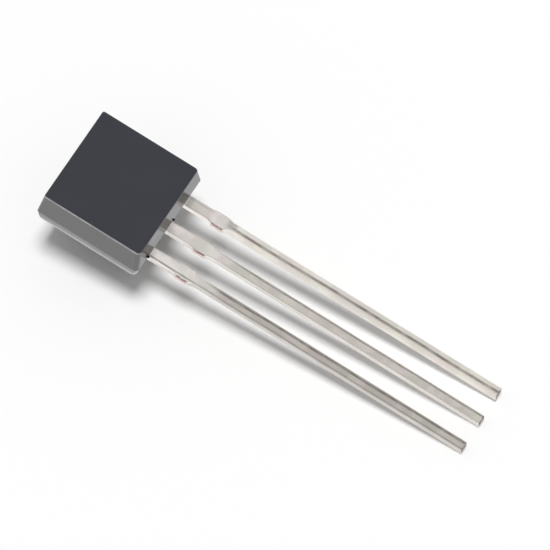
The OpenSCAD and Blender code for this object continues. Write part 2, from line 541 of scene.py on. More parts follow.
@dataclass(frozen=True)
class Finish:
    """A named surface finish; each kind of finish fills in its own nodes.

    Attributes:
        name: The material's name.
        colour: The main colour.
        roughness: The mean roughness.
    """

    name: str
    colour: Colour
    roughness: float

    def material(self, effects: SharedEffects, leads: LeadsFrame) -> bpy.types.Material:
        """Makes the material.

        Args:
            effects: The shared node groups.
            leads: The frame that the patterns follow.

        Returns:
            The new material.
        """
        made = bpy.data.materials.new(self.name)
        made.use_nodes = True
        made.node_tree.nodes.clear()
        sketch = Sketch(made.node_tree)
        shader = sketch.add("ShaderNodeBsdfPrincipled")
        output = sketch.add("ShaderNodeOutputMaterial")
        sketch.feed(output, "Surface", shader.outputs[0])
        coordinate = sketch.add("ShaderNodeTexCoord").outputs["Object"]
        mapping = sketch.add("ShaderNodeMapping", vector_type="TEXTURE")
        sketch.feed(mapping, "Vector", coordinate)
        sketch.feed(mapping, "Location", leads.origin)
        sketch.feed(mapping, "Rotation", leads.turn)
        sketch.feed(shader, "Base Color", self.colour)
        sketch.feed(shader, "Roughness", self.roughness)
        self.dress(sketch, shader, mapping.outputs[0], effects)
        return made

    def dress(
        self, sketch: Sketch, shader: bpy.types.Node, place: object, effects: SharedEffects
    ) -> None:
        """Adds what is particular to the finish.

        Args:
            sketch: The material's nodes.
            shader: The material's shader.
            place: The place in the leads' frame, in metres.
            effects: The shared node groups.
        """
        raise NotImplementedError

    def _grouped(
        self, sketch: Sketch, tree: bpy.types.NodeTree, place: object, **values: float
    ) -> bpy.types.Node:
        """Places a shared group in the material with its own values."""
        node = sketch.add("ShaderNodeGroup", node_tree=tree)
        sketch.feed(node, "Vector", place)
        for name, value in values.items():
            sketch.feed(node, name.replace("_", " "), value)
        return node


@dataclass(frozen=True)
class MouldedEpoxy(Finish):
    """Black filled epoxy: a smooth flat face, greyer eroded walls lightened as painted light, a painted
    shade on the wall where the leads come out and a painted highlight along the flat's near front edge.

    Attributes:
        flat_level: Height of the flat face above the parting plane.
        edge_width: Width of the rounded edge below it.
        highlight_side: Place across the row beyond which the front edge gets the painted highlight.
        lit_matt_wall_colour: Colour of the matt walls: partly their greyer eroded finish, partly painted
            light that makes them lighter than the flat.
        end_wall_shade_colour: Painted shade on the wall where the leads come out, darker than the other
            walls.
        end_drafts: How that wall leans above and below the parting plane, in degrees.
        wall_roughness: Roughness of the matt walls.
        edge_highlight_colour: Colour of the painted highlight along the near front edge.
        grain_depth: Depth of the mould's grain.
    """

    flat_level: float = 1.285e-3
    edge_width: float = 0.06e-3
    highlight_side: float = -2.0e-3
    lit_matt_wall_colour: Colour = (0.125, 0.124, 0.124, 1.0)
    end_wall_shade_colour: Colour = (0.045, 0.044, 0.044, 1.0)
    end_drafts: tuple[float, float] = (5.2, 8.3)
    wall_roughness: float = 0.18
    edge_highlight_colour: Colour = (0.45, 0.45, 0.45, 1.0)
    grain_depth: float = 1e-6

    def dress(
        self, sketch: Sketch, shader: bpy.types.Node, place: object, effects: SharedEffects
    ) -> None:
        """Adds grain, the walls' greyer colour with painted light, a painted shade on the lead-end wall
        and a painted highlight along the flat's near edge.
        """
        grain = self._grouped(sketch, effects.grain, place, Scale=26000.0, Patch_Scale=700.0)
        sketch.feed(shader, "Normal", sketch.bump(grain.outputs["Height"], self.grain_depth))
        split = sketch.add("ShaderNodeSeparateXYZ")
        sketch.feed(split, 0, place)
        level, edge = self.flat_level, self.edge_width
        flat = sketch.span(split.outputs[2], level - 0.5 * edge, level - 0.1 * edge, 0.0, 1.0)
        below = sketch.span(split.outputs[2], level - 1.8 * edge, level - 1.2 * edge, 0.0, 1.0)
        # Painted highlight: a lighter band on the rounded edge below the flat, only on the near side,
        # broken up by noise.
        highlight_breakup = sketch.span(sketch.noise(place, 3000.0, 2.0), 0.3, 0.6, 0.6, 1.0)
        side = self.highlight_side
        sided = sketch.span(split.outputs[1], side - 0.02e-3, side, 1.0, 0.0)
        edge_highlight = sketch.math("MULTIPLY", sketch.math("SUBTRACT", below, flat), highlight_breakup)
        edge_highlight = sketch.math("MULTIPLY", edge_highlight, sided)
        # Painted shade: the wall where the leads come out is darker, standing for the shadowed table in
        # front of it.
        above, below_plane = (math.tan(math.radians(draft)) for draft in self.end_drafts)
        lean = sketch.math(
            "MAXIMUM",
            sketch.math("MULTIPLY", split.outputs[2], above),
            sketch.math("MULTIPLY", split.outputs[2], -below_plane),
        )
        outward = sketch.math("ADD", split.outputs[0], lean)
        shaded_end_wall = sketch.span(outward, -0.005e-3, -0.0005e-3, 0.0, 1.0)
        # The walls' grey is partly their matt finish and partly painted light.
        wall = sketch.mix(shaded_end_wall, self.lit_matt_wall_colour, self.end_wall_shade_colour)
        base = sketch.mix(flat, wall, self.colour)
        sketch.feed(shader, "Base Color", sketch.mix(edge_highlight, base, self.edge_highlight_colour))
        matt = sketch.span(flat, 0.0, 1.0, self.wall_roughness, self.roughness)
        uneven = sketch.span(grain.outputs["Patches"], 0.0, 1.0, -0.02, 0.03)
        sketch.feed(shader, "Roughness", sketch.math("ADD", matt, uneven))
        shader.inputs["IOR"].default_value = 1.56


@dataclass(frozen=True)
class PaintedEdgeReflection:
    """A thin dark line along the top of a lead, painted as the dark reflection that its rounded edge would
    show.

    Attributes:
        place: Its distance from the lead's middle, across the row.
        width: Its width.
        start: Where it begins along the lead.
        end: Where it ends.
        strength: How dark the painted reflection is, up to 1.
    """

    place: float
    width: float
    start: float = 2.1e-3
    end: float = 20e-3
    strength: float = 1.0


@dataclass(frozen=True)
class TinPlate(Finish):
    """Matt tin plating over copper, with drawing lines and warm handling stains.

    Attributes:
        row_place: Where the lead's middle lies across the row.
        lines: The painted dark reflections along the lead's edges.
        root_colour: The top's plating beside the body.
        exit_colour: Clean plating right beside the moulding.
        olive_tint: Tint of the olive stains.
        rosy_tint: Tint of the plating between them.
        line_shade_colour: Colour of the painted dark reflection in the lines.
        root_end: Where that plating ends.
        dull_colour: Duller plating between the moulding and the stub.
        dull_end: Where it ends, or less than 0 where the lead has none.
        relief: Depth of the drawing lines.
    """

    row_place: float = 0.0
    lines: tuple[PaintedEdgeReflection, ...] = ()
    root_colour: Colour = (0.88, 0.84, 0.8, 1.0)
    exit_colour: Colour = (0.98, 0.95, 0.92, 1.0)
    olive_tint: Colour = (0.95, 0.97, 0.92, 1.0)
    rosy_tint: Colour = (1.0, 0.965, 0.965, 1.0)
    line_shade_colour: Colour = (0.2, 0.18, 0.15, 1.0)
    root_end: float = 3.1e-3
    dull_colour: Colour = (0.79, 0.75, 0.72, 1.0)
    dull_end: float = -1e-3
    relief: float = 1.2e-6

    def dress(
        self, sketch: Sketch, shader: bpy.types.Node, place: object, effects: SharedEffects
    ) -> None:
        """Adds lengthwise lines, stains, painted dark edge reflections and the plating's grain."""
        shader.inputs["Metallic"].default_value = 1.0
        streaks = self._grouped(sketch, effects.streaks, place, Scale=9000.0, Stretch=0.04)
        grain = self._grouped(sketch, effects.grain, place, Scale=40000.0, Patch_Scale=1200.0)
        height = sketch.math(
            "MULTIPLY_ADD", streaks.outputs["Lines"], 0.7, grain.outputs["Height"]
        )
        sketch.feed(shader, "Normal", sketch.bump(height, self.relief))
        split = sketch.add("ShaderNodeSeparateXYZ")
        sketch.feed(split, 0, place)
        along, _, up = split.outputs
        inner = sketch.span(along, 0.6 * self.root_end, 1.2 * self.root_end, 1.0, 0.0)
        on_top = sketch.span(up, -0.16e-3, -0.1e-3, 0.0, 1.0)
        inner = sketch.math("MULTIPLY", inner, on_top)
        base = sketch.mix(inner, self.colour, self.root_colour)
        dull = sketch.span(along, self.dull_end - 0.2e-3, self.dull_end + 0.2e-3, 1.0, 0.0)
        dull = sketch.math("MULTIPLY", dull, on_top)
        base = sketch.mix(dull, base, self.dull_colour)
        stains = streaks.outputs["Stains"]
        base = sketch.tint(stains, base, self.olive_tint)
        base = sketch.tint(sketch.math("SUBTRACT", 1.0, stains), base, self.rosy_tint)
        beside = sketch.span(along, 0.05e-3, 0.09e-3, 0.8, 0.0)
        base = sketch.mix(beside, base, self.exit_colour)
        # Painted dark reflections along the rounded edges of the lead's top.
        for line in self.lines:
            mask = self._line_mask(sketch, split, place, line)
            base = sketch.mix(mask, base, self.line_shade_colour)
        sketch.feed(shader, "Base Color", base)
        rough = sketch.span(
            grain.outputs["Patches"], 0.0, 1.0, self.roughness - 0.06, self.roughness + 0.08
        )
        sketch.feed(shader, "Roughness", rough)

    def _line_mask(
        self, sketch: Sketch, split: bpy.types.Node, place: object, line: PaintedEdgeReflection
    ) -> object:
        """Masks one line along the top of the lead.

        Args:
            sketch: The material's nodes.
            split: The place along, across and up, as three outputs.
            place: The whole place.
            line: The line.

        Returns:
            The mask.
        """
        along, across, up = split.outputs
        wander = sketch.noise(place, 500.0, 1.0)
        wander = sketch.span(wander, 0.3, 0.7, -0.012e-3, 0.012e-3)
        middle = sketch.math("ADD", wander, self.row_place + line.place)
        away = sketch.math("ABSOLUTE", sketch.math("SUBTRACT", across, middle))
        shown = sketch.span(away, 0.25 * line.width, 0.6 * line.width, line.strength, 0.0)
        fade = 0.5e-3
        for mask in (
            sketch.span(along, line.start - fade, line.start + fade, 0.0, 1.0),
            sketch.span(along, line.end - fade, line.end + fade, 1.0, 0.0),
            sketch.span(up, -0.16e-3, -0.1e-3, 0.0, 1.0),
            sketch.span(sketch.noise(place, 2200.0, 3.0), 0.3, 0.65, 0.6, 1.0),
        ):
            shown = sketch.math("MULTIPLY", shown, mask)
        return shown


@dataclass(frozen=True)
class ShearedCut(Finish):
    """A sheared face: a rolled plated rim, a dark line that is partly painted shade, torn metal and a
    burnished zone.

    Attributes:
        rim_colour: The rolled rim at the top, still plated.
        line_shade_colour: The dark line where the metal begins to tear, darkened further as painted shade
            below the rim.
        burnished_colour: The bright lower zone, where the punch smeared tin.
        rim_depth: Depth of the rolled rim in the middle of the cut.
        line_width: Height of the dark line.
        burnish_depth: Depth where the burnished zone begins.
        tear_depth: Relief of the torn zone.
        middle: Place of the cut's middle along the lead.
        half_length: Half the length over which the rim arches.
        row_place: Where the lead's middle lies across the row.
        tilt: Turn of the lead about its own axis, in degrees.
        centre_depth: Depth of that axis, with the lift that the turn gives it taken off.
    """

    rim_colour: Colour = (0.8, 0.75, 0.71, 1.0)
    line_shade_colour: Colour = (0.13, 0.075, 0.07, 1.0)
    burnished_colour: Colour = (0.8, 0.64, 0.61, 1.0)
    rim_depth: float = 0.03e-3
    line_width: float = 0.11e-3
    burnish_depth: float = 0.27e-3
    tear_depth: float = 4e-6
    middle: float = 1.5e-3
    half_length: float = 0.27e-3
    row_place: float = 0.0
    tilt: float = 0.0
    centre_depth: float = 0.205e-3

    def dress(
        self, sketch: Sketch, shader: bpy.types.Node, place: object, effects: SharedEffects
    ) -> None:
        """Adds the zones of the cut and their torn grain."""
        shader.inputs["Metallic"].default_value = 1.0
        grain = self._grouped(sketch, effects.grain, place, Scale=30000.0, Patch_Scale=4000.0)
        sketch.feed(shader, "Normal", sketch.bump(grain.outputs["Height"], self.tear_depth))
        split = sketch.add("ShaderNodeSeparateXYZ")
        sketch.feed(split, 0, place)
        uneven = sketch.span(sketch.noise(place, 6000.0, 2.0), 0.3, 0.7, -0.02e-3, 0.02e-3)
        turn = math.radians(self.tilt)
        aside = sketch.math("SUBTRACT", split.outputs[1], self.row_place)
        risen = sketch.math("ADD", split.outputs[2], self.centre_depth)
        risen = sketch.math("MULTIPLY", risen, math.cos(turn))
        risen = sketch.math("MULTIPLY_ADD", aside, -math.sin(turn), risen)
        depth = sketch.math("SUBTRACT", uneven, risen)
        depth = sketch.math("ADD", depth, 0.205e-3)
        away = sketch.math("SUBTRACT", split.outputs[0], self.middle)
        away = sketch.math("DIVIDE", away, self.half_length)
        away = sketch.math("MULTIPLY", away, away)
        rim = sketch.span(away, 0.0, 1.0, self.rim_depth, 0.0)
        below_rim = sketch.math("SUBTRACT", depth, rim)
        soft = 0.02e-3
        # Partly painted shade: the dark line below the rolled rim, where the metal begins to tear.
        dark = sketch.span(below_rim, 0.0, soft, 0.0, 1.0)
        torn = sketch.span(below_rim, self.line_width - soft, self.line_width + soft, 0.0, 1.0)
        smeared = sketch.span(depth, self.burnish_depth - 2 * soft, self.burnish_depth, 0.0, 1.0)
        patched = sketch.span(grain.outputs["Patches"], 0.2, 0.8, 0.0, 0.7)
        smeared = sketch.math("MAXIMUM", smeared, patched)
        base = sketch.mix(dark, self.rim_colour, self.line_shade_colour)
        lower = sketch.mix(smeared, self.colour, self.burnished_colour)
        base = sketch.mix(torn, base, lower)
        ends = sketch.span(away, 0.55, 1.0, 0.0, 1.0)
        sketch.feed(shader, "Base Color", sketch.mix(ends, base, self.rim_colour))


@dataclass(frozen=True)
class PlainGrain(Finish):
    """A sealed inner surface with a fine grain."""

    metallic: float = 1.0
    grain_depth: float = 0.5e-6
    dark_colour: Colour = (0.3, 0.3, 0.32, 1.0)

    def dress(
        self, sketch: Sketch, shader: bpy.types.Node, place: object, effects: SharedEffects
    ) -> None:
        """Adds grain and slight patches."""
        shader.inputs["Metallic"].default_value = self.metallic
        grain = self._grouped(sketch, effects.grain, place, Scale=60000.0, Patch_Scale=9000.0)
        sketch.feed(shader, "Normal", sketch.bump(grain.outputs["Height"], self.grain_depth))
        patches = sketch.math("MULTIPLY", grain.outputs["Patches"], 0.3)
        sketch.feed(shader, "Base Color", sketch.mix(patches, self.colour, self.dark_colour))


@dataclass
class Finishes:
    """The object's materials."""

    leads: LeadsFrame
    effects: SharedEffects = field(default_factory=SharedEffects)

    def __post_init__(self) -> None:
        """Makes every material once."""
        self.epoxy = self._make(
            MouldedEpoxy("moulded_epoxy", colour=(0.019, 0.0202, 0.03, 1.0), roughness=0.3)
        )
        self.tin = {
            Piece.EMITTER_LEAD: self._make(
                TinPlate(
                    "tin_on_emitter_lead",
                    colour=(0.67, 0.63, 0.605, 1.0),
                    roughness=0.28,
                    row_place=-1.27e-3,
                    lines=(
                        PaintedEdgeReflection(0.08e-3, 0.1e-3, start=2.7e-3, strength=0.8),
                        PaintedEdgeReflection(-0.17e-3, 0.085e-3, start=-1e-3, strength=0.42),
                        PaintedEdgeReflection(-0.17e-3, 0.07e-3, start=-1e-3, end=1.8e-3, strength=0.5),
                    ),
                    root_colour=(0.97, 0.93, 0.91, 1.0),
                )
            ),
            Piece.COLLECTOR_LEAD: self._make(
                TinPlate(
                    "tin_on_collector_lead",
                    colour=(0.78, 0.74, 0.705, 1.0),
                    roughness=0.28,
                    lines=(PaintedEdgeReflection(0.1e-3, 0.07e-3, start=3.0e-3, strength=0.6),),
                    root_colour=(0.92, 0.88, 0.86, 1.0),
                )
            ),
            Piece.BASE_LEAD: self._make(
                TinPlate(
                    "tin_on_base_lead",
                    colour=(0.9, 0.86, 0.825, 1.0),
                    roughness=0.28,
                    row_place=1.27e-3,
                    lines=(
                        PaintedEdgeReflection(-0.04e-3, 0.13e-3, strength=0.82),
                        PaintedEdgeReflection(0.12e-3, 0.06e-3, start=-1e-3, end=1.3e-3, strength=0.25),
                    ),
                    root_colour=(0.98, 0.95, 0.93, 1.0),
                    root_end=2.5e-3,
                    dull_end=1.15e-3,
                )
            ),
        }
        self.stub_cut = self._make(
            ShearedCut("sheared_stub", colour=(0.68, 0.36, 0.33, 1.0), roughness=0.4)
        )
        # On the tips the dark band below the top edge is painted, standing for the dark reflection of the
        # rounded edge; the cut itself is dull grey-brown.
        straight_tip = ShearedCut(
            "sheared_tip",
            colour=(0.3, 0.27, 0.25, 1.0),
            roughness=0.4,
            line_shade_colour=(0.12, 0.108, 0.1, 1.0),
            burnished_colour=(0.56, 0.51, 0.48, 1.0),
            rim_depth=0.0,
            line_width=0.25e-3,
            middle=0.0,
            half_length=1.0,
        )
        self.tip_cut = self._make(straight_tip)
        self.turned_tip_cut = self._make(
            replace(
                straight_tip,
                name="sheared_turned_tip",
                row_place=1.27e-3,
                tilt=BASE_LEAD_TURN,
                centre_depth=0.144e-3,
            )
        )
        # The beads' matt black is painted shade, standing for a shadowed crevice beside the leads.
        self.shade_bead = self._make(
            PlainGrain(
                "resin_bead_painted_shade",
                colour=(0.004, 0.004, 0.004, 1.0),
                roughness=0.95,
                metallic=0.0,
                dark_colour=(0.002, 0.002, 0.002, 1.0),
            )
        )
        self.solder = self._make(
            PlainGrain("solder_film", colour=(0.62, 0.63, 0.66, 1.0), roughness=0.45)
        )
        self.silicon = self._make(
            PlainGrain(
                "silicon_chip", colour=(0.2, 0.21, 0.25, 1.0), roughness=0.2, metallic=0.6
            )
        )
        self.gold = self._make(
            PlainGrain(
                "gold_wire_finish",
                colour=(0.95, 0.72, 0.32, 1.0),
                roughness=0.22,
                dark_colour=(0.8, 0.55, 0.2, 1.0),
            )
        )

    def _make(self, finish: Finish) -> bpy.types.Material:
        """Makes one finish's material."""
        return finish.material(self.effects, self.leads)


# The object


@dataclass
class MouldedBody:
    """The body: a flat front with drafted walls on a round back, all in millimetres."""

    height: float = 4.53
    lead_depth: float = 1.285
    back_offset: float = 0.135
    back_radius: float = 2.3
    flat_width: float = 4.17
    end_draft: float = 5.2
    back_lead_end_draft: float = 8.3
    back_far_end_draft: float = 7.5
    back_draft: float = 3.0
    round_steps: int = 160
    front_edge_radius: float = 0.05
    upright_radius: float = 0.06
    rubbed_radius: float = 0.15
    lead_end_edge_radius: float = 0.19
    far_end_edge_radius: float = 0.1
    rounding_steps: int = 7
    # Beads of resin beside the leads, whose black finish is painted shade.
    shade_bead_places: tuple[tuple[float, float, float], ...] = (
        (0.0, 0.28, 0.02),
        (0.02, -1.548, 0.06),
    )
    shade_bead_size: tuple[float, float, float] = (0.12, 0.086, 0.14)
    ejector_diameter: float = 1.6
    ejector_depth: float = 0.2
    gate_width: float = 0.8
    gate_thickness: float = 0.18
    gate_length: float = 0.05
    gate_drop: float = 0.012
    spare: float = 1.0

    @property
    def back_depth(self) -> float:
        """Depth of the back behind the parting plane."""
        return self.back_offset + self.back_radius

    @property
    def parting_half(self) -> float:
        """Half the body's width at the parting plane."""
        return self.back_radius + self.back_offset * math.tan(math.radians(self.back_draft))

    def build(self, leads: LeadsFrame, finishes: Finishes) -> bpy.types.Object:
        """Models the body and lays it down.

        Args:
            leads: The frame that it is modelled in.
            finishes: The object's materials.

        Returns:
            The finished body.
        """
        body = self._blank()
        self._trim_ends(body)
        round_edges(body, self._edge_radius, self.rounding_steps)
        combine(body, self._ejector_pin(), "DIFFERENCE")
        combine(body, self._gate_stub(), "UNION")
        for place in self.shade_bead_places:
            combine(body, self._shade_bead(place), "UNION")
        smooth_surfaces(body, 25.0, lambda a, b: close_to(a.z, 0) and close_to(b.z, 0))
        body.data.materials.clear()
        body.data.materials.append(finishes.epoxy)
        body.data.materials.append(finishes.shade_bead)
        for face in body.data.polygons:
            face.material_index = 1 if self._on_shade_bead(face.center) else 0
        leads.lay_down(body)
        return body

    def _blank(self) -> bpy.types.Object:
        """Raises the drafted front on a half round back, longer than the body."""
        clear_selection()
        bpy.ops.mesh.primitive_cylinder_add(
            vertices=self.round_steps,
            radius=self.back_radius,
            depth=self.height + 2 * self.spare,
            location=(-self.height / 2, 0, -self.back_offset),
            rotation=(0, math.radians(90), 0),
        )
        body = bpy.context.object
        body.name = "moulded_body"
        bpy.ops.object.transform_apply(location=True, rotation=True, scale=True)
        with editing(body):
            cut_all((0, 0, -self.back_offset), (0, 0, 1), drop_outside=True)
            self._raise(body, -self.back_offset, self.back_offset, self.parting_half / self.back_radius)
            self._raise(body, 0.0, self.lead_depth, self.flat_width / 2 / self.parting_half)
        return body

    @staticmethod
    def _raise(body: bpy.types.Object, level: float, rise: float, narrowing: float) -> None:
        """Extrudes the top face upwards and narrows it.

        Args:
            body: The body in edit mode.
            level: Height of the top face.
            rise: How far it goes up.
            narrowing: Its new width as a share of the old.
        """
        select_faces(body, lambda face: all(close_to(v.co.z, level) for v in face.verts))
        bpy.ops.mesh.extrude_region_move(TRANSFORM_OT_translate={"value": (0, 0, rise)})
        bpy.ops.transform.resize(value=(1, narrowing, 1), center_override=(0, 0, level + rise))

    def _trim_ends(self, body: bpy.types.Object) -> None:
        """Cuts both ends to their drafted walls."""
        walls = (
            (0.0, 1.0, self.end_draft),
            (0.0, 1.0, -self.back_lead_end_draft),
            (-self.height, -1.0, self.end_draft),
            (-self.height, -1.0, -self.back_far_end_draft),
        )
        with editing(body):
            for x, way, draft in walls:
                lean = math.radians(draft)
                cut_all((x, 0, 0), (way * math.cos(lean), 0, math.sin(lean)), drop_outside=True)

    def _edge_radius(self, edge: bmesh.types.BMEdge) -> float:
        """Gives the radius of an edge of the body, or 0 where it stays sharp.

        Args:
            edge: The edge.

        Returns:
            The radius in millimetres.
        """
        ends = [vert.co.z for vert in edge.verts]
        facing_ends = [abs(face.normal.x) > 0.9 for face in edge.link_faces]
        facing_up = [face.normal.z > 0.99 for face in edge.link_faces]
        if any(facing_up):
            return self.front_edge_radius
        if any(facing_ends) and not all(facing_ends):
            at_leads = edge.verts[0].co.x > -self.height / 2
            if max(ends) > TOUCH:
                rubbed = at_leads and edge.verts[0].co.y < 0
                return self.rubbed_radius if rubbed else self.upright_radius
            return self.lead_end_edge_radius if at_leads else self.far_end_edge_radius
        return 0.0

    def _on_shade_bead(self, point: Vector) -> bool:
        """Says whether a point lies on a bead that carries the painted shade."""
        for place in self.shade_bead_places:
            away = [2 * (a - b) / size for a, b, size in zip(point, place, self.shade_bead_size)]
            if 0.7 < Vector(away).length_squared < 1.05:
                return True
        return False

    def _shade_bead(self, place: tuple[float, float, float]) -> bpy.types.Object:
        """A small bead of resin beside a lead, whose matt black finish is painted shade for a shadowed
        crevice.

        Args:
            place: Its middle.

        Returns:
            The bead, pulled a little out of round.
        """
        clear_selection()
        bpy.ops.mesh.primitive_ico_sphere_add(
            subdivisions=3, radius=0.5, location=place, scale=self.shade_bead_size
        )
        bead = bpy.context.object
        bpy.ops.object.transform_apply(location=True, rotation=True, scale=True)
        for vert in bead.data.vertices:
            vert.co.x -= 0.1 * abs(vert.co.z - place[2])
        return bead

    def _ejector_pin(self) -> bpy.types.Object:
        """The pin whose face marked the back."""
        clear_selection()
        length = self.spare + self.ejector_depth
        bpy.ops.mesh.primitive_cylinder_add(
            vertices=72,
            radius=self.ejector_diameter / 2,
            depth=length,
            location=(-self.height / 2, 0, -self.back_depth + self.ejector_depth - length / 2),
        )
        return bpy.context.object

    def _gate_stub(self) -> bpy.types.Object:
        """The broken end of the runner just below the parting plane, rough where it snapped."""
        inside = 0.3
        height = self.gate_thickness - self.gate_drop
        clear_selection()
        bpy.ops.mesh.primitive_cube_add(
            size=1,
            location=(
                -self.height - self.gate_length / 2 + inside / 2,
                0,
                -self.gate_drop - height / 2,
            ),
            scale=(self.gate_length + inside, self.gate_width, height),
        )
        stub = bpy.context.object
        bpy.ops.object.transform_apply(location=True, rotation=True, scale=True)
        with editing(stub):
            select_edges(stub, lambda a, b: close_to(a.x, b.x) and a.x < -self.height)
            bpy.ops.mesh.subdivide(number_cuts=9)
        broken = -self.height - self.gate_length
        for vert in stub.data.vertices:
            if close_to(vert.co.x, broken):
                vert.co.x += abs(noise.noise(vert.co * 9.0)) * self.gate_length
        return stub


@dataclass
class StampedLead:
    """A lead stamped from sheet, with the stubs of its cut tie bar, in millimetres.

    Attributes:
        piece: The CAD node that it stands for.
        row_place: The lead's place across the row, in pitches.
        inner_reach: How far the inner end reaches to the middle of the row, from its centre.
        outer_reach: How far the inner end reaches outwards.
        plate_length: Length of the widened inner end.
    """

    piece: Piece
    row_place: int
    inner_reach: float = 0.3
    outer_reach: float = 0.4
    plate_length: float = 1.3
    pitch: float = 1.27
    length: float = 14.06
    thickness: float = 0.41
    root_width: float = 0.46
    width: float = 0.4
    tie_distance: float = 1.22
    tie_length: float = 0.56
    stub_width: float = 0.56
    stub_blend: float = 0.18
    tip_slant: float = 0.04
    neck_length: float = 0.9
    neck_blend: float = 0.22
    plate_radius: float = 0.08
    lock_diameter: float = 0.3
    lock_margin: float = 0.14
    top_edge_radius: float = 0.05
    rolled_edge_radius: float = 0.09
    roll_start: float = 2.2
    lower_edge_radius: float = 0.025
    twist: float = 0.0
    twist_start: float = 1.7
    twist_end: float = 2.2
    ripple: float = 0.006
    ripple_length: float = 1.1
    tip_cuts: int = 90
    root_cuts: int = 8

    def build(self, leads: LeadsFrame, finishes: Finishes) -> bpy.types.Object:
        """Models the lead and lays it down.

        Args:
            leads: The frame that it is modelled in.
            finishes: The object's materials.

        Returns:
            The finished lead.
        """
        lead = self._strip()
        self._shape_stub(lead)
        self._widen_inner_end(lead)
        self._divide(lead)
        combine(lead, self._lock_punch(), "DIFFERENCE")
        self._shear_tip(lead)
        round_edges(lead, self._edge_radius, 4)
        self._twist(lead)
        self._ripple_plating(lead)
        smooth_surfaces(lead, angle=32.0)
        self._dress(lead, finishes)
        lead.data.transform(Matrix.Translation((0, self.row_place * self.pitch, 0)))
        leads.lay_down(lead)
        return lead

    @property
    def _stations(self) -> tuple[float, float, float, float]:
        """Where the stub begins to rise, is full, begins to fall and has ended."""
        near, far = self.tie_distance, self.tie_distance + self.tie_length
        return near - self.stub_blend, near, far, far + self.stub_blend

    def _strip(self) -> bpy.types.Object:
        """A plain strip from the neck to the tip."""
        clear_selection()
        whole = self.length + self.neck_length
        bpy.ops.mesh.primitive_cube_add(
            size=1,
            location=(self.length - whole / 2, 0, -self.thickness / 2),
            scale=(whole, self.root_width, self.thickness),
        )
        lead = bpy.context.object
        lead.name = "plated_" + self.piece.value
        bpy.ops.object.transform_apply(location=True, rotation=True, scale=True)
        return lead

    def _shape_stub(self, lead: bpy.types.Object) -> None:
        """Narrows the lead beyond the stub and leaves the stub standing out."""
        rise, near, far, fall = self._stations
        with editing(lead):
            for x in self._stations:
                cut_all((x, 0, 0), (1, 0, 0))
            select_points(lead, lambda p: near - TOUCH < p.x < far + TOUCH)
            bpy.ops.transform.resize(value=(1, self.stub_width / self.root_width, 1))
            select_points(lead, lambda p: p.x > fall - TOUCH)
            bpy.ops.transform.resize(value=(1, self.width / self.root_width, 1))
            upright = lambda a, b: close_to(a.x, b.x) and close_to(a.y, b.y)
            select_edges(
                lead,
                lambda a, b: upright(a, b) and any(close_to(a.x, x) for x in self._stations),
            )
            bpy.ops.mesh.bevel(offset=0.07, segments=4, affect="EDGES")

    def _widen_inner_end(self, lead: bpy.types.Object) -> None:
        """Draws the inner end out to the plate that is sealed in the body."""
        toward_middle = -1.0 if self.row_place > 0 else 1.0
        low, high = sorted((toward_middle * self.inner_reach, -toward_middle * self.outer_reach))
        plate = high - low
        with editing(lead):
            select_faces(lead, lambda face: face.normal.x < -0.9)
            bpy.ops.mesh.extrude_region_move(
                TRANSFORM_OT_translate={"value": (-self.neck_blend, (low + high) / 2, 0)}
            )
            bpy.ops.transform.resize(value=(1, plate / self.root_width, 1))
            bpy.ops.mesh.extrude_region_move(
                TRANSFORM_OT_translate={"value": (-self.plate_length, 0, 0)}
            )
            plate_start = -self.neck_length - self.neck_blend
            select_edges(
                lead,
                lambda a, b: close_to(a.x, b.x) and close_to(a.y, b.y) and a.x < plate_start + TOUCH,
            )
            bpy.ops.mesh.bevel(offset=self.plate_radius, segments=4, affect="EDGES")

    def _divide(self, lead: bpy.types.Object) -> None:
        """Adds cuts across the straight runs, for the plating's ripple."""
        rise, _, _, fall = self._stations
        lies_along = lambda a, b: close_to(a.y, b.y) and close_to(a.z, b.z)
        runs = ((fall, self.length, self.tip_cuts), (-self.neck_length, rise, self.root_cuts))
        with editing(lead):
            for start, end, cuts in runs:
                reach = (end - start) * 0.6
                select_edges(
                    lead,
                    lambda a, b: lies_along(a, b)
                    and abs(a.x - b.x) > reach
                    and min(a.x, b.x) > start - 0.1
                    and max(a.x, b.x) < end + 0.1,
                )
                bpy.ops.mesh.subdivide(number_cuts=cuts)

    def _lock_punch(self) -> bpy.types.Object:
        """The punch of the hole that locks the inner end in the moulding."""
        plate_end = -self.neck_length - self.neck_blend - self.plate_length
        clear_selection()
        bpy.ops.mesh.primitive_cylinder_add(
            vertices=32,
            radius=self.lock_diameter / 2,
            depth=3 * self.thickness,
            location=(plate_end + self.lock_margin + self.lock_diameter / 2, 0, -self.thickness / 2),
        )
        return bpy.context.object

    def _shear_tip(self, lead: bpy.types.Object) -> None:
        """Leans the sheared tip back from its lower edge."""
        with editing(lead):
            select_points(lead, lambda p: close_to(p.x, self.length) and close_to(p.z, 0))
            bpy.ops.transform.translate(value=(-self.tip_slant, 0, 0))

    def _edge_radius(self, edge: bmesh.types.BMEdge) -> float:
        """Gives the radius of an edge of the lead: the punch rolls the upper ones.

        Args:
            edge: The edge.

        Returns:
            The radius in millimetres.
        """
        sealed = any(vert.co.x < -0.7 * self.neck_length for vert in edge.verts)
        if sealed or edge.calc_face_angle(0.0) < math.radians(40):
            return 0.0
        at_tip = all(vert.co.x > self.length - 0.1 for vert in edge.verts)
        if at_tip or any(vert.co.z < -0.3 * self.thickness for vert in edge.verts):
            return self.lower_edge_radius
        on_far_side = all(vert.co.y > 0.4 * self.width for vert in edge.verts)
        beyond = min(vert.co.x for vert in edge.verts) > self.roll_start
        return self.rolled_edge_radius if on_far_side and beyond else self.top_edge_radius

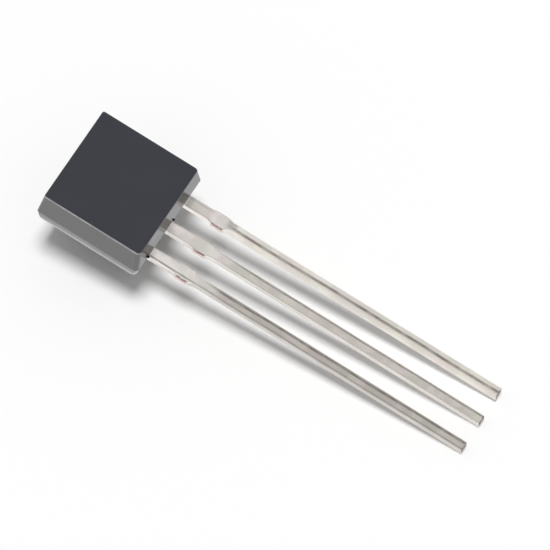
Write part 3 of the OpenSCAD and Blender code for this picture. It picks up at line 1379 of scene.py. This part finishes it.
    def _twist(self, lead: bpy.types.Object) -> None:
        """Turns the lead about its own axis beyond the stub, with its tip kept on the table."""
        turn = math.radians(self.twist)
        half = self.thickness / 2
        dip = self.width / 2 * abs(math.sin(turn)) + half * math.cos(turn) - half
        for vert in lead.data.vertices:
            share = (vert.co.x - self.twist_start) / (self.twist_end - self.twist_start)
            share = min(1.0, max(0.0, share))
            angle = turn * share * share * (3 - 2 * share)
            y, z = vert.co.y, vert.co.z + half
            vert.co.y = y * math.cos(angle) - z * math.sin(angle)
            vert.co.z = y * math.sin(angle) + z * math.cos(angle) - half
            vert.co.z += dip * max(0.0, vert.co.x) / self.length
            vert.co.x -= 0.35 * dip * share

    def _ripple_plating(self, lead: bpy.types.Object) -> None:
        """Makes the plated surfaces outside the body slightly uneven."""
        seed = 17.0 * (self.row_place + 2)
        for vert in lead.data.vertices:
            x, y, z = vert.co
            if x < 0:
                continue
            fade = min(1.0, x / self.ripple_length)
            side = 3.0 * (y > 0) + 7.0 * (z > -self.thickness / 2)
            at = Vector((x / self.ripple_length, seed + side, 0.0))
            push = self.ripple * fade
            vert.co.y -= math.copysign(push * (0.5 + 0.5 * noise.noise(at)), y)
            vert.co.z += push * (noise.noise(at + Vector((0, 0, 5.5))) - 1.0) * (
                0.5 if z > -self.thickness / 2 else -0.5
            )

    def _dress(self, lead: bpy.types.Object, finishes: Finishes) -> None:
        """Gives the cut faces bare copper and all others tin."""
        _, near, far, _ = self._stations
        lead.data.materials.clear()
        tip_cut = finishes.turned_tip_cut if self.twist else finishes.tip_cut
        for material in (finishes.tin[self.piece], finishes.stub_cut, tip_cut):
            lead.data.materials.append(material)
        for face in lead.data.polygons:
            middle = face.center
            on_stub = near - 0.02 < middle.x < far + 0.02 and abs(face.normal.y) > 0.6
            on_tip = face.normal.x > 0.4 and middle.x > self.length - 0.15
            face.material_index = 2 if on_tip else 1 if on_stub else 0


@dataclass
class SealedPieces:
    """The die, its film and its bond wires, which keep their CAD shapes."""

    def dress(self, finishes: Finishes) -> None:
        """Gives each sealed piece its finish.

        Args:
            finishes: The object's materials.
        """
        for piece, material in (
            (Piece.ATTACH, finishes.solder),
            (Piece.DIE, finishes.silicon),
            (Piece.EMITTER_WIRE, finishes.gold),
            (Piece.BASE_WIRE, finishes.gold),
        ):
            node = frame["nodes"][piece.value]
            node.data.materials.clear()
            node.data.materials.append(material)
            LOG.info("dressed %s", piece.value)


# The stage


@dataclass
class Studio:
    """A white table, a small lamp overhead, pale surroundings and the camera.

    Attributes:
        bearing: Direction of the camera from the part, from -Y towards +X, in degrees.
        elevation: Height of the camera above the table, in degrees.
        roll: Turn of the camera about its view, in degrees.
        aim: The point that the camera looks at, in metres.
        distance: Distance from that point to the camera, in metres.
        lens: Focal length for a sensor 36 mm wide, in millimetres.
    """

    bearing: float = 36.766
    elevation: float = 65.694
    roll: float = -5.168
    aim: tuple[float, float, float] = (-0.00022262, 0.00045106, 0.002)
    distance: float = 0.275643
    lens: float = 475.27
    table_size: float = 2.0
    table_colour: Colour = (0.97, 0.97, 0.97, 1.0)
    fill_strength: float = 0.36
    horizon_strength: float = 0.9
    gap_strength: float = 0.3
    ceiling_strength: float = 0.82
    gap_rise: tuple[float, float] = (0.45, 0.65)
    ceiling_rise: tuple[float, float] = (0.82, 0.92)
    lamp_share: float = 0.67
    lamp_width: float = 18.0
    lamp_lean: tuple[float, float] = (-0.03, -0.05)

    def build(self) -> None:
        """Sets up the table, the lights and the camera."""
        self._table()
        self._surroundings()
        self._lamp()
        self._camera()

    def _table(self) -> None:
        """A plain white table top, which gloss sees as white and without shadows."""
        clear_selection()
        bpy.ops.mesh.primitive_plane_add(size=self.table_size, location=(0, 0, 0))
        table = bpy.context.object
        table.name = "table_top"
        material = bpy.data.materials.new("white_table")
        material.use_nodes = True
        material.node_tree.nodes.clear()
        sketch = Sketch(material.node_tree)
        paper = sketch.add("ShaderNodeBsdfDiffuse")
        sketch.feed(paper, "Color", self.table_colour)
        white = sketch.add("ShaderNodeEmission")
        sketch.feed(white, "Strength", 1.0)
        path = sketch.add("ShaderNodeLightPath").outputs
        choice = sketch.add("ShaderNodeMixShader")
        sketch.feed(choice, 0, sketch.math("MAXIMUM", path["Is Glossy Ray"], path["Is Transmission Ray"]))
        sketch.feed(choice, 1, paper.outputs[0])
        sketch.feed(choice, 2, white.outputs[0])
        output = sketch.add("ShaderNodeOutputMaterial")
        sketch.feed(output, "Surface", choice.outputs[0])
        table.data.materials.append(material)

    def _surroundings(self) -> None:
        """A plain fill for surfaces, white for the camera, and for gloss a gap below the ceiling."""
        world = bpy.data.worlds.new("pale_surroundings")
        world.use_nodes = True
        world.node_tree.nodes.clear()
        sketch = Sketch(world.node_tree)
        path = sketch.add("ShaderNodeLightPath").outputs
        direction = sketch.add("ShaderNodeTexCoord").outputs["Generated"]
        split = sketch.add("ShaderNodeSeparateXYZ")
        sketch.feed(split, 0, direction)
        height = split.outputs[2]
        low = sketch.span(height, *self.gap_rise, self.horizon_strength, self.gap_strength)
        high = sketch.span(height, *self.ceiling_rise, 0.0, 1.0)
        mirrored = sketch.choose(high, low, self.ceiling_strength)
        strength = sketch.choose(path["Is Glossy Ray"], self.fill_strength, mirrored)
        seen = sketch.math("MAXIMUM", path["Is Camera Ray"], path["Is Transmission Ray"])
        back = sketch.add("ShaderNodeBackground")
        sketch.feed(back, "Color", (1.0, 1.0, 1.0, 1.0))
        sketch.feed(back, "Strength", sketch.choose(seen, strength, 1.0))
        output = sketch.add("ShaderNodeOutputWorld")
        sketch.feed(output, "Surface", back.outputs[0])
        bpy.context.scene.world = world

    def _lamp(self) -> None:
        """A soft distant lamp straight overhead, which adds no highlight of its own."""
        data = bpy.data.lights.new("overhead_lamp", "SUN")
        data.angle = math.radians(self.lamp_width)
        data.energy = self.lamp_share * math.pi
        lamp = bpy.data.objects.new("overhead_lamp", data)
        lamp.location = (0.0, 0.0, 0.5)
        shine = Vector((*self.lamp_lean, -1.0))
        lamp.rotation_euler = shine.to_track_quat("-Z", "Y").to_euler()
        lamp.visible_glossy = False
        bpy.context.scene.collection.objects.link(lamp)

    def _camera(self) -> None:
        """The camera at the photograph's angle."""
        data = bpy.data.cameras.new("photo_camera")
        data.sensor_width = 36.0
        data.lens = self.lens
        data.clip_start = 0.01
        data.clip_end = 10.0
        camera = bpy.data.objects.new("photo_camera", data)
        around, up = math.radians(self.bearing), math.radians(self.elevation)
        back = Vector(
            (
                math.sin(around) * math.cos(up),
                -math.cos(around) * math.cos(up),
                math.sin(up),
            )
        )
        level = (-back).to_track_quat("-Z", "Y").to_matrix().to_4x4()
        roll = Matrix.Rotation(math.radians(self.roll), 4, "Z")
        camera.matrix_world = Matrix.Translation(Vector(self.aim) + back * self.distance) @ level @ roll
        bpy.context.scene.collection.objects.link(camera)
        bpy.context.scene.camera = camera


def stand_for(made: bpy.types.Object, piece: Piece) -> None:
    """Lets a modelled piece take the place of its CAD node.

    Args:
        made: The modelled piece.
        piece: The CAD node.
    """
    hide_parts(piece.value)
    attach(made, ROOT_BODY)
    LOG.info("built %s for %s: %d faces", made.name, piece.value, len(made.data.polygons))


def main() -> None:
    """Builds the pieces in order, then the stage."""
    logging.basicConfig(level=logging.INFO, format="%(name)s: %(message)s")
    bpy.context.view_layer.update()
    scene = bpy.context.scene
    scene.view_settings.view_transform = "Standard"

    lead_row = (
        StampedLead(Piece.EMITTER_LEAD, row_place=-1),
        StampedLead(
            Piece.COLLECTOR_LEAD,
            row_place=0,
            inner_reach=0.62,
            outer_reach=0.62,
            plate_length=2.0,
        ),
        StampedLead(Piece.BASE_LEAD, row_place=1, twist=BASE_LEAD_TURN),
    )
    leads = LeadsFrame.from_record(lead_row[0].length, lead_row[0].thickness)
    finishes = Finishes(leads)

    frame["nodes"][Piece.BODY.value].data.materials.clear()
    frame["nodes"][Piece.BODY.value].data.materials.append(finishes.epoxy)
    stand_for(MouldedBody().build(leads, finishes), Piece.BODY)
    for lead in lead_row:
        stand_for(lead.build(leads, finishes), lead.piece)
    SealedPieces().dress(finishes)
    Studio().build()


if __name__ == "__main__":
    main()
